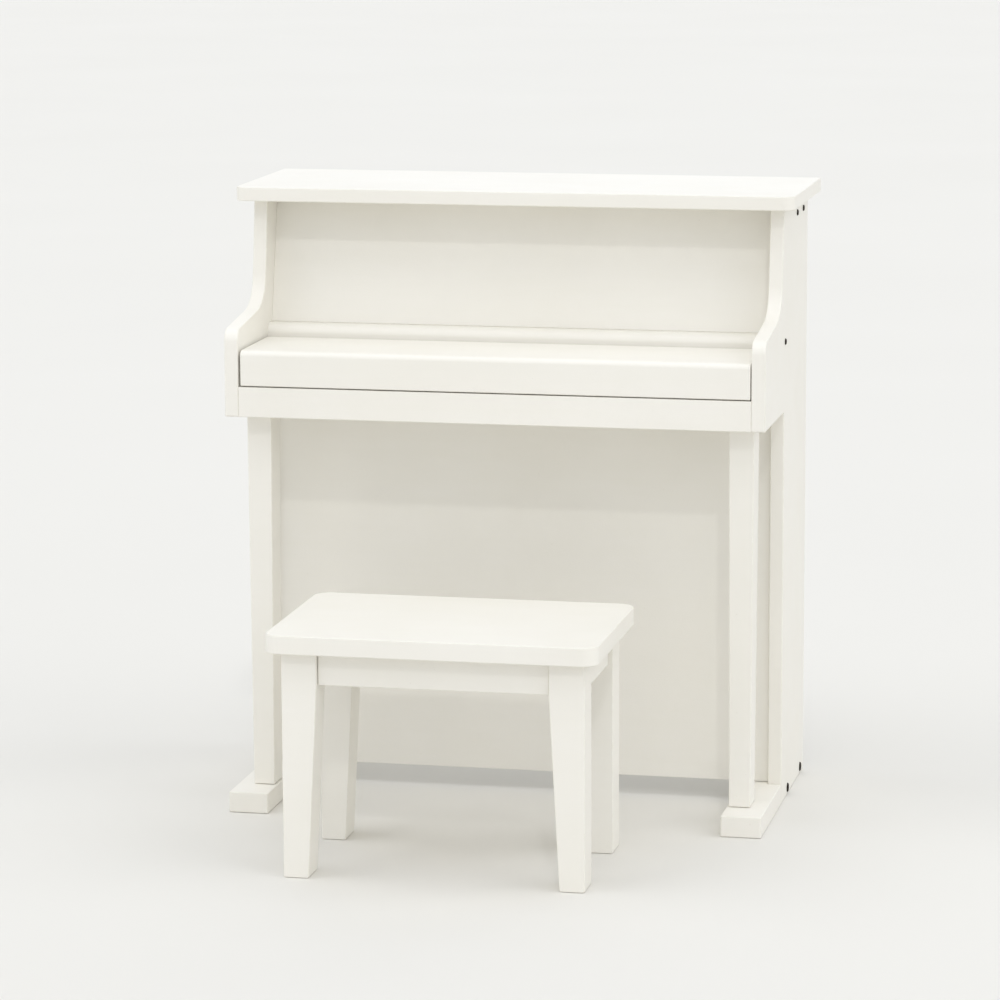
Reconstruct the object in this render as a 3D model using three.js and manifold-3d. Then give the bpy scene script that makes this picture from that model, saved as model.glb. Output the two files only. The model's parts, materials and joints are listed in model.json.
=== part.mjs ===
// A child's toy upright piano and its bench: white painted boards, a key lid that swings up on
// two pins, and twenty-five keys that tip on a balance rail to strike a row of tone rods.
//
// Millimetres, +Z up. The piano's front faces -Y. While the pieces are drawn, Y = 0 is the back
// of the piano; the whole set is then moved so that the origin lies on the floor under its middle.
import * as THREE from "three";
import { mergeVertices } from "three/addons/utils/BufferGeometryUtils.js";
import Module from "manifold-3d";

const wasm = await Module();
wasm.setup();

// ---------------------------------------------------------------- driving dimensions

const GAP = 0.3; // between two pieces that touch
const BOARD = 12; // thickness of the case boards

const TOP = { width: 490, depth: 168, height: 536, cornerRadius: 11 };
const CASE = { width: 467, lowerDepth: 136, armDepth: 247, armUnderside: 347 };
const NECK = { topDepth: 143.5, footDepth: 152.5, footHeight: 458 }; // the narrow part of a side panel
const ARM = { frontRadius: 12, frontHeight: 423.5, backDepth: 184, backHeight: 430 };
const ARM_HOLLOW = { depth: 157, height: 433.5 }; // the corner that the arm's hollow curve is drawn to

const SLIP_HEIGHT = 26;
const LID = { front: 247, pivotDepth: 159, top: 404.5, bottom: 374, edgeRadius: 5 };
const LID_GAP = { left: 2, right: 0.8 }; // between the lid's ends and the side panels
const LID_PIN = { radius: 2, length: 23, bore: 2.3, sink: 8.5, endPlay: 1 };
const LEDGE = { front: 151.3, back: 122, bottom: 384, top: 415, edgeRadius: 8 };

const UPPER_PANEL = { bottomDepth: 135, topDepth: 110.5, thickness: 9 };
const LOWER_PANEL = { depth: 129.5, thickness: 10 };
const BACK_PANEL = { thickness: 8, bottom: 347 }; // closes the back behind the keys and rods only
const CLEAT = { width: 20, height: 20, front: 98, back: 12 };

const FOOT = { length: 254.5, width: 35, height: 18 };
// The legs draw in towards their feet: on both sides, and at the back.
const LEG = { front: 223, middle: 210, topWidth: 21.5, footWidth: 18.5, topDepth: 29, footDepth: 25 };

const SCREW_RECESS_DEPTH = 1.2;
// Each side panel's screw recesses, as [distance in front of the back, height, radius].
const SCREW_RECESSES = [[66, 512, 3], [29, 512, 3], [133, 408, 3], [98, 6, 4.4], [20, 6, 4.4]];

const OCTAVE = ["c", "d", "e", "f", "g", "a", "b"];
const HAS_SHARP = { c: true, d: true, f: true, g: true, a: true };
const WHITE_KEYS = 15;
const FIRST_OCTAVE = 4;
const KEY = { pitch: 26, gap: 0.8, front: 232, tail: 44, bottom: 368, height: 12 };
const BLACK_KEY = { width: 13, front: 205, back: 157, rise: 7, slant: 5 };
const STRIKER = { front: 66, back: 54, height: 12 };
const BALANCE = { depth: 122, width: 6 };
const KEY_REST = { front: 62, back: 48 };
const FRONT_REST = { front: 226, back: 212, height: 2.4 };

const ROD = { radius: 1.5, height: 401, shortest: 72, longest: 113, rooted: 4, sides: 8 };
const ROD_BAR = { width: 384, front: 30, bottom: 393, top: 419 };

const BENCH = { width: 275, depth: 180, height: 205, seatThickness: 15.5, cornerRadius: 14 };
const BENCH_LEG = { topWidth: 29.5, footWidth: 21, depth: 29.5, insetX: 12, insetY: 13.5 };
const APRON = { height: 28, thickness: 12, setBack: 4 };
const BENCH_PLACE = { x: -6, front: 464 }; // front: distance of the seat's front edge from the piano's back

const CUT_OVER = 1; // how far a cutting tool stands out of the face that it enters
const LAP = 1; // how far two shapes that become one piece run into each other
const ROUND_SIDES = 16; // flat sides of a pin or a bore
const CURVE_STEPS = 6; // straight steps in a rounded edge or corner
const ARM_CURVE_STEPS = 10;

// ---------------------------------------------------------------- sizes that follow

const halfCase = CASE.width / 2;
const inside = halfCase - BOARD; // inner face of a side panel
const innerHalf = inside - GAP; // half the width of what stands between the side panels
const underTop = TOP.height - BOARD;
const keybedTop = CASE.armUnderside + BOARD;
const keyTop = KEY.bottom + KEY.height;
const lidPivotHeight = LID.top - BOARD / 2;
const lidEnds = [-inside + LID_GAP.left, inside - LID_GAP.right];
const keyboardHalf = (WHITE_KEYS * KEY.pitch) / 2;

// ---------------------------------------------------------------- materials

function material(color, roughness, metalness = 0) {
  return new THREE.MeshStandardMaterial({ color, roughness, metalness });
}

const whitePaint = material(0xf0eee6, 0.45);
const bareWood = material(0xd8b98a, 0.7);
const whitePlastic = material(0xf6f4ec, 0.25);
const blackPlastic = material(0x141416, 0.3);
const felt = material(0xb23a3a, 0.95);
const steel = material(0xb9bcc0, 0.3, 0.9);
const castIron = material(0x4a4d52, 0.6, 0.6);

// ---------------------------------------------------------------- shape tools

function namedMesh(name, geometry, surface) {
  const mesh = new THREE.Mesh(geometry, surface);
  mesh.name = name;
  return mesh;
}

// A box between two corners, given as a low and a high value on each axis.
function block([x0, x1], [y0, y1], [z0, z1]) {
  const geometry = new THREE.BoxGeometry(x1 - x0, y1 - y0, z1 - z0);
  return geometry.translate((x0 + x1) / 2, (y0 + y1) / 2, (z0 + z1) / 2);
}

function shapeThrough(points) {
  return new THREE.Shape(points.map(([a, b]) => new THREE.Vector2(a, b)));
}

// A side view, drawn in Y and Z, drawn out along X.
function acrossX(shape, x0, x1, curveSegments = CURVE_STEPS) {
  const geometry = new THREE.ExtrudeGeometry(shape, {
    depth: x1 - x0,
    bevelEnabled: false,
    curveSegments,
  });
  const axes = new THREE.Matrix4().makeBasis(
    new THREE.Vector3(0, 1, 0),
    new THREE.Vector3(0, 0, 1),
    new THREE.Vector3(1, 0, 0),
  );
  return geometry.applyMatrix4(axes).translate(x0, 0, 0);
}

// A plan, drawn in X and Y, drawn out upwards.
function upwards(shape, z0, z1) {
  const geometry = new THREE.ExtrudeGeometry(shape, {
    depth: z1 - z0,
    bevelEnabled: false,
    curveSegments: CURVE_STEPS,
  });
  return geometry.translate(0, 0, z0);
}

// A round bar along X.
function barAcrossX(radius, x0, x1, y, z) {
  const geometry = new THREE.CylinderGeometry(radius, radius, x1 - x0, ROUND_SIDES);
  return geometry.rotateZ(Math.PI / 2).translate((x0 + x1) / 2, y, z);
}

// A round bar along Y.
function barAlongY(radius, y0, y1, x, z, sides) {
  const geometry = new THREE.CylinderGeometry(radius, radius, y1 - y0, sides);
  return geometry.translate(x, (y0 + y1) / 2, z);
}

function toSolid(geometry) {
  const bare = new THREE.BufferGeometry();
  bare.setAttribute("position", geometry.getAttribute("position"));
  bare.setIndex(geometry.getIndex());
  const merged = mergeVertices(bare, 1e-4);
  return new wasm.Manifold(
    new wasm.Mesh({
      numProp: 3,
      vertProperties: new Float32Array(merged.getAttribute("position").array),
      triVerts: new Uint32Array(merged.getIndex().array),
    }),
  );
}

function toGeometry(solid) {
  const { vertProperties, triVerts } = solid.getMesh();
  const geometry = new THREE.BufferGeometry();
  geometry.setAttribute("position", new THREE.BufferAttribute(vertProperties, 3));
  geometry.setIndex(new THREE.BufferAttribute(triVerts, 1));
  const faceted = geometry.toNonIndexed();
  faceted.computeVertexNormals();
  return faceted;
}

function joined(geometries) {
  const solids = geometries.map(toSolid);
  return toGeometry(solids.reduce((all, next) => all.add(next)));
}

function cutBy(geometry, tools) {
  return toGeometry(tools.map(toSolid).reduce((rest, tool) => rest.subtract(tool), toSolid(geometry)));
}

// The low and high value of a stretch that starts at one place and runs a length to one side.
function stretch(start, length, side = 1) {
  return [start, start + side * length].sort((a, b) => a - b);
}

// A four-sided post. Each level is [x stretch, y stretch, height], from the foot up.
function taperedPost(levels) {
  const corners = levels.flatMap(([[x0, x1], [y0, y1], z]) => [
    [x0, y0, z],
    [x1, y0, z],
    [x1, y1, z],
    [x0, y1, z],
  ]);
  const faces = [];
  const quad = (a, b, c, d) => faces.push(a, b, c, a, c, d);
  quad(3, 2, 1, 0);
  for (let ring = 0; ring < corners.length - 4; ring += 4) {
    for (let i = 0; i < 4; i++) {
      const next = (i + 1) % 4;
      quad(ring + i, ring + next, ring + 4 + next, ring + 4 + i);
    }
  }
  const last = corners.length - 4;
  quad(last, last + 1, last + 2, last + 3);
  const geometry = new THREE.BufferGeometry();
  geometry.setAttribute("position", new THREE.Float32BufferAttribute(corners.flat(), 3));
  geometry.setIndex(faces);
  const faceted = geometry.toNonIndexed();
  faceted.computeVertexNormals();
  return faceted;
}

// ---------------------------------------------------------------- case

// Seen from the side: a straight back, a narrow upright neck, a hollow curve down to the arm, the
// arm's rounded front, its level underside, and the narrower lower part that reaches the floor.
function sidePanelOutline() {
  const { frontRadius, frontHeight, backDepth, backHeight } = ARM;
  const shape = new THREE.Shape();
  shape.moveTo(0, 0);
  shape.lineTo(0, underTop - GAP);
  shape.lineTo(-NECK.topDepth, underTop - GAP);
  shape.lineTo(-NECK.footDepth, NECK.footHeight);
  shape.quadraticCurveTo(-ARM_HOLLOW.depth, ARM_HOLLOW.height, -backDepth, backHeight);
  shape.lineTo(-CASE.armDepth + frontRadius, frontHeight);
  shape.absarc(
    -CASE.armDepth + frontRadius, frontHeight - frontRadius, frontRadius,
    Math.PI / 2, Math.PI, false,
  );
  shape.lineTo(-CASE.armDepth, CASE.armUnderside);
  shape.lineTo(-CASE.lowerDepth, CASE.armUnderside);
  shape.lineTo(-CASE.lowerDepth, 0);
  shape.closePath();
  return shape;
}

function sidePanel(name, side) {
  const recesses = SCREW_RECESSES.map(([depth, height, radius]) => {
    const ends = stretch(side * (halfCase + CUT_OVER), CUT_OVER + SCREW_RECESS_DEPTH, -side);
    return barAcrossX(radius, ...ends, -depth, height);
  });
  const pinEnds = stretch(side * (inside - CUT_OVER), CUT_OVER + LID_PIN.sink, side);
  const pinHole = barAcrossX(LID_PIN.bore, ...pinEnds, -LID.pivotDepth, lidPivotHeight);
  const board = acrossX(sidePanelOutline(), ...stretch(side * inside, BOARD, side), ARM_CURVE_STEPS);
  return namedMesh(name, cutBy(board, [...recesses, pinHole]), whitePaint);
}

function topBoard() {
  const half = TOP.width / 2;
  const radius = TOP.cornerRadius;
  const shape = new THREE.Shape();
  shape.moveTo(-half, 0);
  shape.lineTo(-half, -TOP.depth + radius);
  shape.absarc(-half + radius, -TOP.depth + radius, radius, Math.PI, 1.5 * Math.PI, false);
  shape.absarc(half - radius, -TOP.depth + radius, radius, 1.5 * Math.PI, 2 * Math.PI, false);
  shape.lineTo(half, 0);
  shape.closePath();
  return namedMesh("top_board", upwards(shape, underTop, TOP.height), whitePaint);
}

// The panel above the keys leans back as it rises.
function upperFrontPanel() {
  const { bottomDepth, topDepth, thickness } = UPPER_PANEL;
  const bottom = LEDGE.top + GAP;
  const top = underTop - GAP;
  const shape = shapeThrough([
    [-bottomDepth, bottom],
    [-bottomDepth + thickness, bottom],
    [-topDepth + thickness, top],
    [-topDepth, top],
  ]);
  return namedMesh("upper_front_panel", acrossX(shape, -innerHalf, innerHalf), whitePaint);
}

function lowerFrontPanel() {
  const { depth, thickness } = LOWER_PANEL;
  const heights = [FOOT.height + GAP, CASE.armUnderside - GAP];
  const geometry = block([-innerHalf, innerHalf], [-depth, -depth + thickness], heights);
  return namedMesh("lower_front_panel", geometry, whitePaint);
}

function backPanel() {
  const { thickness, bottom } = BACK_PANEL;
  const geometry = block([-innerHalf, innerHalf], [-thickness, 0], [bottom, underTop - GAP]);
  return namedMesh("back_panel", geometry, whitePaint);
}

function keybed() {
  const depths = [-CASE.armDepth + BOARD + GAP, -BACK_PANEL.thickness - GAP];
  const geometry = block([-innerHalf, innerHalf], depths, [CASE.armUnderside, keybedTop]);
  return namedMesh("keybed", geometry, whitePaint);
}

function keySlip() {
  const heights = [CASE.armUnderside, CASE.armUnderside + SLIP_HEIGHT];
  const depths = [-CASE.armDepth, -CASE.armDepth + BOARD];
  return namedMesh("key_slip", block([-innerHalf, innerHalf], depths, heights), whitePaint);
}

function keyBlock(name, side) {
  const keyboardEnd = keyboardHalf + KEY.gap;
  const ends = stretch(side * keyboardEnd, innerHalf - keyboardEnd, side);
  const depths = [-CASE.armDepth + BOARD + GAP, -LEDGE.front - GAP];
  const heights = [keybedTop + GAP, LID.top - BOARD - GAP];
  return namedMesh(name, block(ends, depths, heights), whitePaint);
}

function lidLedge() {
  const { front, back, bottom, top, edgeRadius } = LEDGE;
  const shape = new THREE.Shape();
  shape.moveTo(-back, bottom);
  shape.lineTo(-back, top);
  shape.lineTo(-front + edgeRadius, top);
  shape.absarc(-front + edgeRadius, top - edgeRadius, edgeRadius, Math.PI / 2, Math.PI, false);
  shape.lineTo(-front, bottom);
  shape.closePath();
  return namedMesh("lid_ledge", acrossX(shape, -innerHalf, innerHalf), whitePaint);
}

function topCleat(name, side) {
  const ends = stretch(side * innerHalf, CLEAT.width, -side);
  const heights = [underTop - GAP - CLEAT.height, underTop - GAP];
  return namedMesh(name, block(ends, [-CLEAT.front, -CLEAT.back], heights), bareWood);
}

// A runner: a wide block in front of the side panel, and a narrower rail along its inner face.
function foot(name, side) {
  const innerFace = halfCase - FOOT.width;
  const shape = shapeThrough([
    [side * innerFace, -FOOT.length],
    [side * halfCase, -FOOT.length],
    [side * halfCase, -CASE.lowerDepth - GAP],
    [side * innerHalf, -CASE.lowerDepth - GAP],
    [side * innerHalf, 0],
    [side * innerFace, 0],
  ]);
  return namedMesh(name, upwards(shape, 0, FOOT.height), whitePaint);
}

function frontLeg(name, side) {
  const level = (width, depth, z) => [
    stretch(side * LEG.middle - width / 2, width),
    stretch(-LEG.front, depth),
    z,
  ];
  const geometry = taperedPost([
    level(LEG.footWidth, LEG.footDepth, FOOT.height + GAP),
    level(LEG.topWidth, LEG.topDepth, CASE.armUnderside - GAP),
  ]);
  return namedMesh(name, geometry, whitePaint);
}

// ---------------------------------------------------------------- key lid

// The lid's back edge is rounded about its pivot, so that it clears the ledge as it swings.
function lidTop() {
  const radius = BOARD / 2;
  const front = -LID.front + BOARD + GAP;
  const shape = new THREE.Shape();
  shape.moveTo(front, LID.top - BOARD);
  shape.absarc(-LID.pivotDepth, lidPivotHeight, radius, -Math.PI / 2, Math.PI / 2, false);
  shape.lineTo(front, LID.top);
  shape.closePath();
  const boreEnd = inside + LID_PIN.sink - LID_PIN.length - LID_PIN.endPlay;
  const bores = [-1, 1].map((side) => {
    const ends = stretch(side * boreEnd, inside - boreEnd, side);
    return barAcrossX(LID_PIN.bore, ...ends, -LID.pivotDepth, lidPivotHeight);
  });
  return namedMesh("key_lid_top", cutBy(acrossX(shape, ...lidEnds), bores), whitePaint);
}

function lidFront() {
  const { front, bottom, top, edgeRadius } = LID;
  const shape = new THREE.Shape();
  shape.moveTo(-front, bottom);
  shape.lineTo(-front + BOARD, bottom);
  shape.lineTo(-front + BOARD, top);
  shape.lineTo(-front + edgeRadius, top);
  shape.absarc(-front + edgeRadius, top - edgeRadius, edgeRadius, Math.PI / 2, Math.PI, false);
  shape.closePath();
  return namedMesh("key_lid_front", acrossX(shape, ...lidEnds), whitePaint);
}

function lidPin(name, side) {
  const ends = stretch(side * (inside + LID_PIN.sink - GAP), LID_PIN.length, -side);
  const geometry = barAcrossX(LID_PIN.radius, ...ends, -LID.pivotDepth, lidPivotHeight);
  return namedMesh(name, geometry, steel);
}

// ---------------------------------------------------------------- keys and tone rods

// One record for each key, from left to right: its name, and where its lever lies across the piano.
function keyLayout() {
  const keys = [];
  const whiteName = (i) => OCTAVE[i % OCTAVE.length];
  const octave = (i) => FIRST_OCTAVE + Math.floor(i / OCTAVE.length);
  const sharpAfter = (i) => i >= 0 && i < WHITE_KEYS - 1 && HAS_SHARP[whiteName(i)];
  const room = BLACK_KEY.width / 2 + KEY.gap;
  for (let i = 0; i < WHITE_KEYS; i++) {
    const left = -keyboardHalf + i * KEY.pitch;
    const right = left + KEY.pitch;
    keys.push({
      name: `key_${whiteName(i)}${octave(i)}`,
      black: false,
      head: [left + KEY.gap / 2, right - KEY.gap / 2],
      lever: [
        left + (sharpAfter(i - 1) ? room : KEY.gap / 2),
        right - (sharpAfter(i) ? room : KEY.gap / 2),
      ],
    });
    if (sharpAfter(i)) {
      keys.push({
        name: `key_${whiteName(i)}_sharp${octave(i)}`,
        black: true,
        lever: [right - BLACK_KEY.width / 2, right + BLACK_KEY.width / 2],
      });
    }
  }
  return keys;
}

// The tail of every key carries a striker under its tone rod.
function keyTail() {
  return [
    [-STRIKER.front, keyTop],
    [-STRIKER.front, keyTop + STRIKER.height],
    [-STRIKER.back, keyTop + STRIKER.height],
    [-STRIKER.back, keyTop],
    [-KEY.tail, keyTop],
    [-KEY.tail, KEY.bottom],
  ];
}

function whiteKey({ name, head, lever }) {
  const headBack = -BLACK_KEY.front - KEY.gap;
  const leverFront = headBack - LAP;
  const side = shapeThrough([[leverFront, KEY.bottom], [leverFront, keyTop], ...keyTail()]);
  const pieces = [
    acrossX(side, ...lever),
    block(head, [-KEY.front, headBack], [KEY.bottom, keyTop]),
  ];
  return namedMesh(name, joined(pieces), whitePlastic);
}

function blackKey({ name, lever }) {
  const { front, back, rise, slant } = BLACK_KEY;
  const side = shapeThrough([
    [-front, KEY.bottom],
    [-front, keyTop],
    [-front + slant, keyTop + rise],
    [-back, keyTop + rise],
    [-back, keyTop],
    ...keyTail(),
  ]);
  return namedMesh(name, acrossX(side, ...lever), blackPlastic);
}

function balanceRail() {
  const { depth, width } = BALANCE;
  const depths = [-depth - width / 2, -depth + width / 2];
  const heights = [keybedTop + GAP, KEY.bottom - GAP];
  return namedMesh("balance_rail", block([-innerHalf, innerHalf], depths, heights), bareWood);
}

function keyRestRail() {
  const heights = [keybedTop + GAP, KEY.bottom - GAP];
  const geometry = block([-innerHalf, innerHalf], [-KEY_REST.front, -KEY_REST.back], heights);
  return namedMesh("key_rest_rail", geometry, bareWood);
}

function frontRestStrip() {
  const heights = [keybedTop + GAP, keybedTop + GAP + FRONT_REST.height];
  const depths = [-FRONT_REST.front, -FRONT_REST.back];
  return namedMesh("front_rest_strip", block([-keyboardHalf, keyboardHalf], depths, heights), felt);
}

// The rods grow shorter from the low notes on the left to the high notes on the right.
function toneRodBar(keys) {
  const half = ROD_BAR.width / 2;
  const depths = [-ROD_BAR.front, -BACK_PANEL.thickness - GAP];
  const bar = block([-half, half], depths, [ROD_BAR.bottom, ROD_BAR.top]);
  const rods = keys.map(({ lever }, i) => {
    const reach = THREE.MathUtils.lerp(ROD.longest, ROD.shortest, i / (keys.length - 1));
    const x = (lever[0] + lever[1]) / 2;
    return barAlongY(ROD.radius, -reach, -ROD_BAR.front + ROD.rooted, x, ROD.height, ROD.sides);
  });
  return namedMesh("tone_rod_bar", joined([bar, ...rods]), castIron);
}

// ---------------------------------------------------------------- bench, centred on its own middle

function benchSeat() {
  const halfX = BENCH.width / 2;
  const halfY = BENCH.depth / 2;
  const radius = BENCH.cornerRadius;
  const corners = [[1, 1], [-1, 1], [-1, -1], [1, -1]];
  const shape = new THREE.Shape();
  corners.forEach(([sx, sy], i) => {
    const start = (i * Math.PI) / 2;
    const end = start + Math.PI / 2;
    shape.absarc(sx * (halfX - radius), sy * (halfY - radius), radius, start, end, false);
  });
  shape.closePath();
  const geometry = upwards(shape, BENCH.height - BENCH.seatThickness, BENCH.height);
  return namedMesh("bench_seat", geometry, whitePaint);
}

const benchUnderSeat = BENCH.height - BENCH.seatThickness - GAP;
const benchLegX = BENCH.width / 2 - BENCH_LEG.insetX;
const benchLegY = BENCH.depth / 2 - BENCH_LEG.insetY;

// A bench leg's inner side draws in towards its foot, below the aprons.
function benchLeg(name, sideX, sideY) {
  const level = (width, z) => [
    stretch(sideX * benchLegX, width, -sideX),
    stretch(sideY * benchLegY, BENCH_LEG.depth, -sideY),
    z,
  ];
  const geometry = taperedPost([
    level(BENCH_LEG.footWidth, 0),
    level(BENCH_LEG.topWidth, benchUnderSeat - APRON.height),
    level(BENCH_LEG.topWidth, benchUnderSeat),
  ]);
  return namedMesh(name, geometry, whitePaint);
}

// The front and rear aprons run along X between two legs, and the side aprons along Y.
function benchApron(name, sideX, sideY) {
  const outward = sideX || sideY;
  const outer = (sideX ? benchLegX : benchLegY) - APRON.setBack;
  const across = stretch(outward * outer, APRON.thickness, -outward);
  const halfRun = (sideX ? benchLegY - BENCH_LEG.depth : benchLegX - BENCH_LEG.topWidth) - GAP;
  const along = [-halfRun, halfRun];
  const heights = [benchUnderSeat - APRON.height, benchUnderSeat];
  const geometry = sideX ? block(across, along, heights) : block(along, across, heights);
  return namedMesh(name, geometry, whitePaint);
}

// ---------------------------------------------------------------- the set

const keys = keyLayout();

const pianoCase = new THREE.Group();
pianoCase.add(
  sidePanel("left_side_panel", -1),
  sidePanel("right_side_panel", 1),
  topBoard(),
  upperFrontPanel(),
  lowerFrontPanel(),
  backPanel(),
  keybed(),
  keySlip(),
  keyBlock("left_key_block", -1),
  keyBlock("right_key_block", 1),
  lidLedge(),
  lidPin("left_lid_pin", -1),
  lidPin("right_lid_pin", 1),
  topCleat("left_top_cleat", -1),
  topCleat("right_top_cleat", 1),
  foot("left_foot", -1),
  foot("right_foot", 1),
  frontLeg("left_front_leg", -1),
  frontLeg("right_front_leg", 1),
  balanceRail(),
  keyRestRail(),
  frontRestStrip(),
  toneRodBar(keys),
);

const keyLid = new THREE.Group();
keyLid.add(lidTop(), lidFront());

const keyboard = new THREE.Group();
keys.forEach((key) => keyboard.add(key.black ? blackKey(key) : whiteKey(key)));

const bench = new THREE.Group();
bench.position.set(BENCH_PLACE.x, BENCH.depth / 2 - BENCH_PLACE.front, 0);
bench.add(
  benchSeat(),
  benchApron("bench_front_apron", 0, -1),
  benchApron("bench_rear_apron", 0, 1),
  benchApron("bench_left_apron", -1, 0),
  benchApron("bench_right_apron", 1, 0),
  benchLeg("bench_front_left_leg", -1, -1),
  benchLeg("bench_front_right_leg", 1, -1),
  benchLeg("bench_rear_left_leg", -1, 1),
  benchLeg("bench_rear_right_leg", 1, 1),
);

const set = new THREE.Group();
set.position.y = BENCH_PLACE.front / 2;
set.add(pianoCase, keyLid, keyboard, bench);

export default set;
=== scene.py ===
"""The looks of a child's white toy upright piano and its bench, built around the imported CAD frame.

Metres, +Z up, the piano's front faces -Y. Every place comes from the CAD frame: a board is drawn
again from the outline of its CAD node, with rounded edges, and small hardware stands in the
recesses that the CAD gives it.
"""

import json
import math

import bmesh
import bpy
from mathutils import Matrix, Vector


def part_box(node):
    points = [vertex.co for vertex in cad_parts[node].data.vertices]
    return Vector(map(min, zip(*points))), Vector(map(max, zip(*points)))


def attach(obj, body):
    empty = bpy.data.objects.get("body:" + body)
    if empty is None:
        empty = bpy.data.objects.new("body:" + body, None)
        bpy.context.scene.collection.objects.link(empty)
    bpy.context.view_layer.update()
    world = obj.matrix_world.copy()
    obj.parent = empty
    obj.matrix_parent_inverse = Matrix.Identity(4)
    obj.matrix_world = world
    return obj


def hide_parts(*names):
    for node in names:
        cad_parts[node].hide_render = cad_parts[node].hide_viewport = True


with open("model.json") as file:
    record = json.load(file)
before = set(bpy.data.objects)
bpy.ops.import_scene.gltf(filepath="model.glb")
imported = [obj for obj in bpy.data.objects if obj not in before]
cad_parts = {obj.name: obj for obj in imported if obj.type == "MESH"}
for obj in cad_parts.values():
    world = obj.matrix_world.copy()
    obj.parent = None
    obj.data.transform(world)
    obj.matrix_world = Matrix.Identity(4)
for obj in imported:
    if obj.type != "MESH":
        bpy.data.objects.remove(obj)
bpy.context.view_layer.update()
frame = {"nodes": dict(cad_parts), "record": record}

MM = 0.001
X, Y, Z = 0, 1, 2
WELD = 0.02 * MM  # CAD points closer than this are one point
STEP = 1.0 * MM  # CAD points further apart than this along an axis lie on different faces
BOTH_ENDS = ((X, -1), (X, 1))

# ---------------------------------------------------------------- driving sizes

BOARD_EDGE = 1.0 * MM  # rounding of a painted board's edges
LID_EDGE = 0.6 * MM
FITTED_EDGE = 0.4 * MM  # rounding of a board that is let in between others
FINE_EDGE = 0.5 * MM  # rounding of small wooden and plastic pieces
SEAM = 0.35 * MM  # how far a board is drawn past its end to close the seam that CAD leaves
CORNER_SHARE = 1.5  # a corner's radius over the radius of the edge that runs round it
ROUND_STEPS = 4  # steps in a rounded edge
ARC_STEPS = 4  # steps drawn for each straight step of a CAD arc
LONGEST_ARC_STEP = 5 * MM  # a longer straight stretch is a real straight line
SHARPEST_ARC_TURN = math.radians(40)  # a larger turn is a real corner
STRAIGHT_TURN = math.radians(0.3)  # a smaller turn is no turn at all
CORNER_REACH = 0.4  # the share of a side that one rounded corner may take
ROUND_PROFILE = 0.5  # a bevel's profile that is a quarter of a circle
FLAT_FACE_WEIGHT = 80  # how strongly large flat faces lead the shading of a piece

CIRCLE_SIDES = 32
HOLE_LIP = 0.3 * MM  # the small chamfer at the mouth of a screw's recess

SCREW = {"clearance": 0.3 * MM, "flat": 0.64}  # flat: the head's flat middle over its radius
HEAD_HEIGHT = {"domed": 1.1 * MM, "flush": -0.15 * MM}  # over the face that the screw is in
# The cross in a head: reach and arm over the head's radius, and the floor's size over the mouth's.
CROSS = {"reach": 0.52, "arm": 0.16, "depth": 0.9 * MM, "floor": 0.35, "wear": 0.6}
BACK_SCREW = {"radius": 3.2 * MM, "depth": 1.2 * MM, "inset": 12 * MM, "columns": 5, "rows": 3}
ROD_ROOT = 1.0 * MM  # how far a tone rod goes into its bar

KEY_CAP = 2.4 * MM  # thickness of a key's plastic cap
STICK_INSET = 0.25 * MM  # how far a key's wooden stick stands back from its cap
CAP_EDGE = 0.8 * MM
CAP, WOOD, HAMMER = 0, 1, 2  # places in a key's list of materials
BAR, ROD = 0, 1  # places in the tone rod bar's list of materials
BLACK_TAPER = 1.3 * MM  # how far a black key's sides draw in
BLACK_FOOT_SHARE = 0.1  # the share of that taper reached at the top of the lever
# The depth under a black key's top, and the share of the taper reached there.
BLACK_CROWN = ((2.0 * MM, 0.8), (0.9 * MM, 0.93), (0.3 * MM, 1.1), (0.0, 1.5))
BLACK_NOSE = {"from": 0.9, "reach": 1.0 * MM}  # the front's rounding, from this share of the taper
BLACK_BACK_TAPER = 0.5  # the back's taper over that of the sides
TAIL_LENGTH = 30 * MM  # the striker stands within this length of a key's tail
STRIKER_CLEARANCE = 10 * MM  # a black key's cap ends at least this far before its striker
STRIKER_FELT = {"height": 6 * MM, "rounding": 2 * MM}

# Metres, and the lens in millimetres. Azimuth and elevation are those of the camera's place, seen
# from the object.
CAMERA = {
    "place": (0.7291, -3.3625, 0.9006),
    "azimuth": math.radians(12.17),
    "elevation": math.radians(10.23),
    "roll": math.radians(-0.25),
    "lens": 147.8,
}

# ---------------------------------------------------------------- what the frame says

record = frame["record"]
BODY_OF = {n: body for body, nodes in record["behaviour"]["bodies"].items() for n in nodes}
SLOT_OF = {part["node"]: part["material_slot"] for part in record["subparts"]}
KEYS = [n for n in frame["nodes"] if n.startswith("key_") and BODY_OF[n] == n]  # a body each


# ---------------------------------------------------------------- nodes of a material


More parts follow.
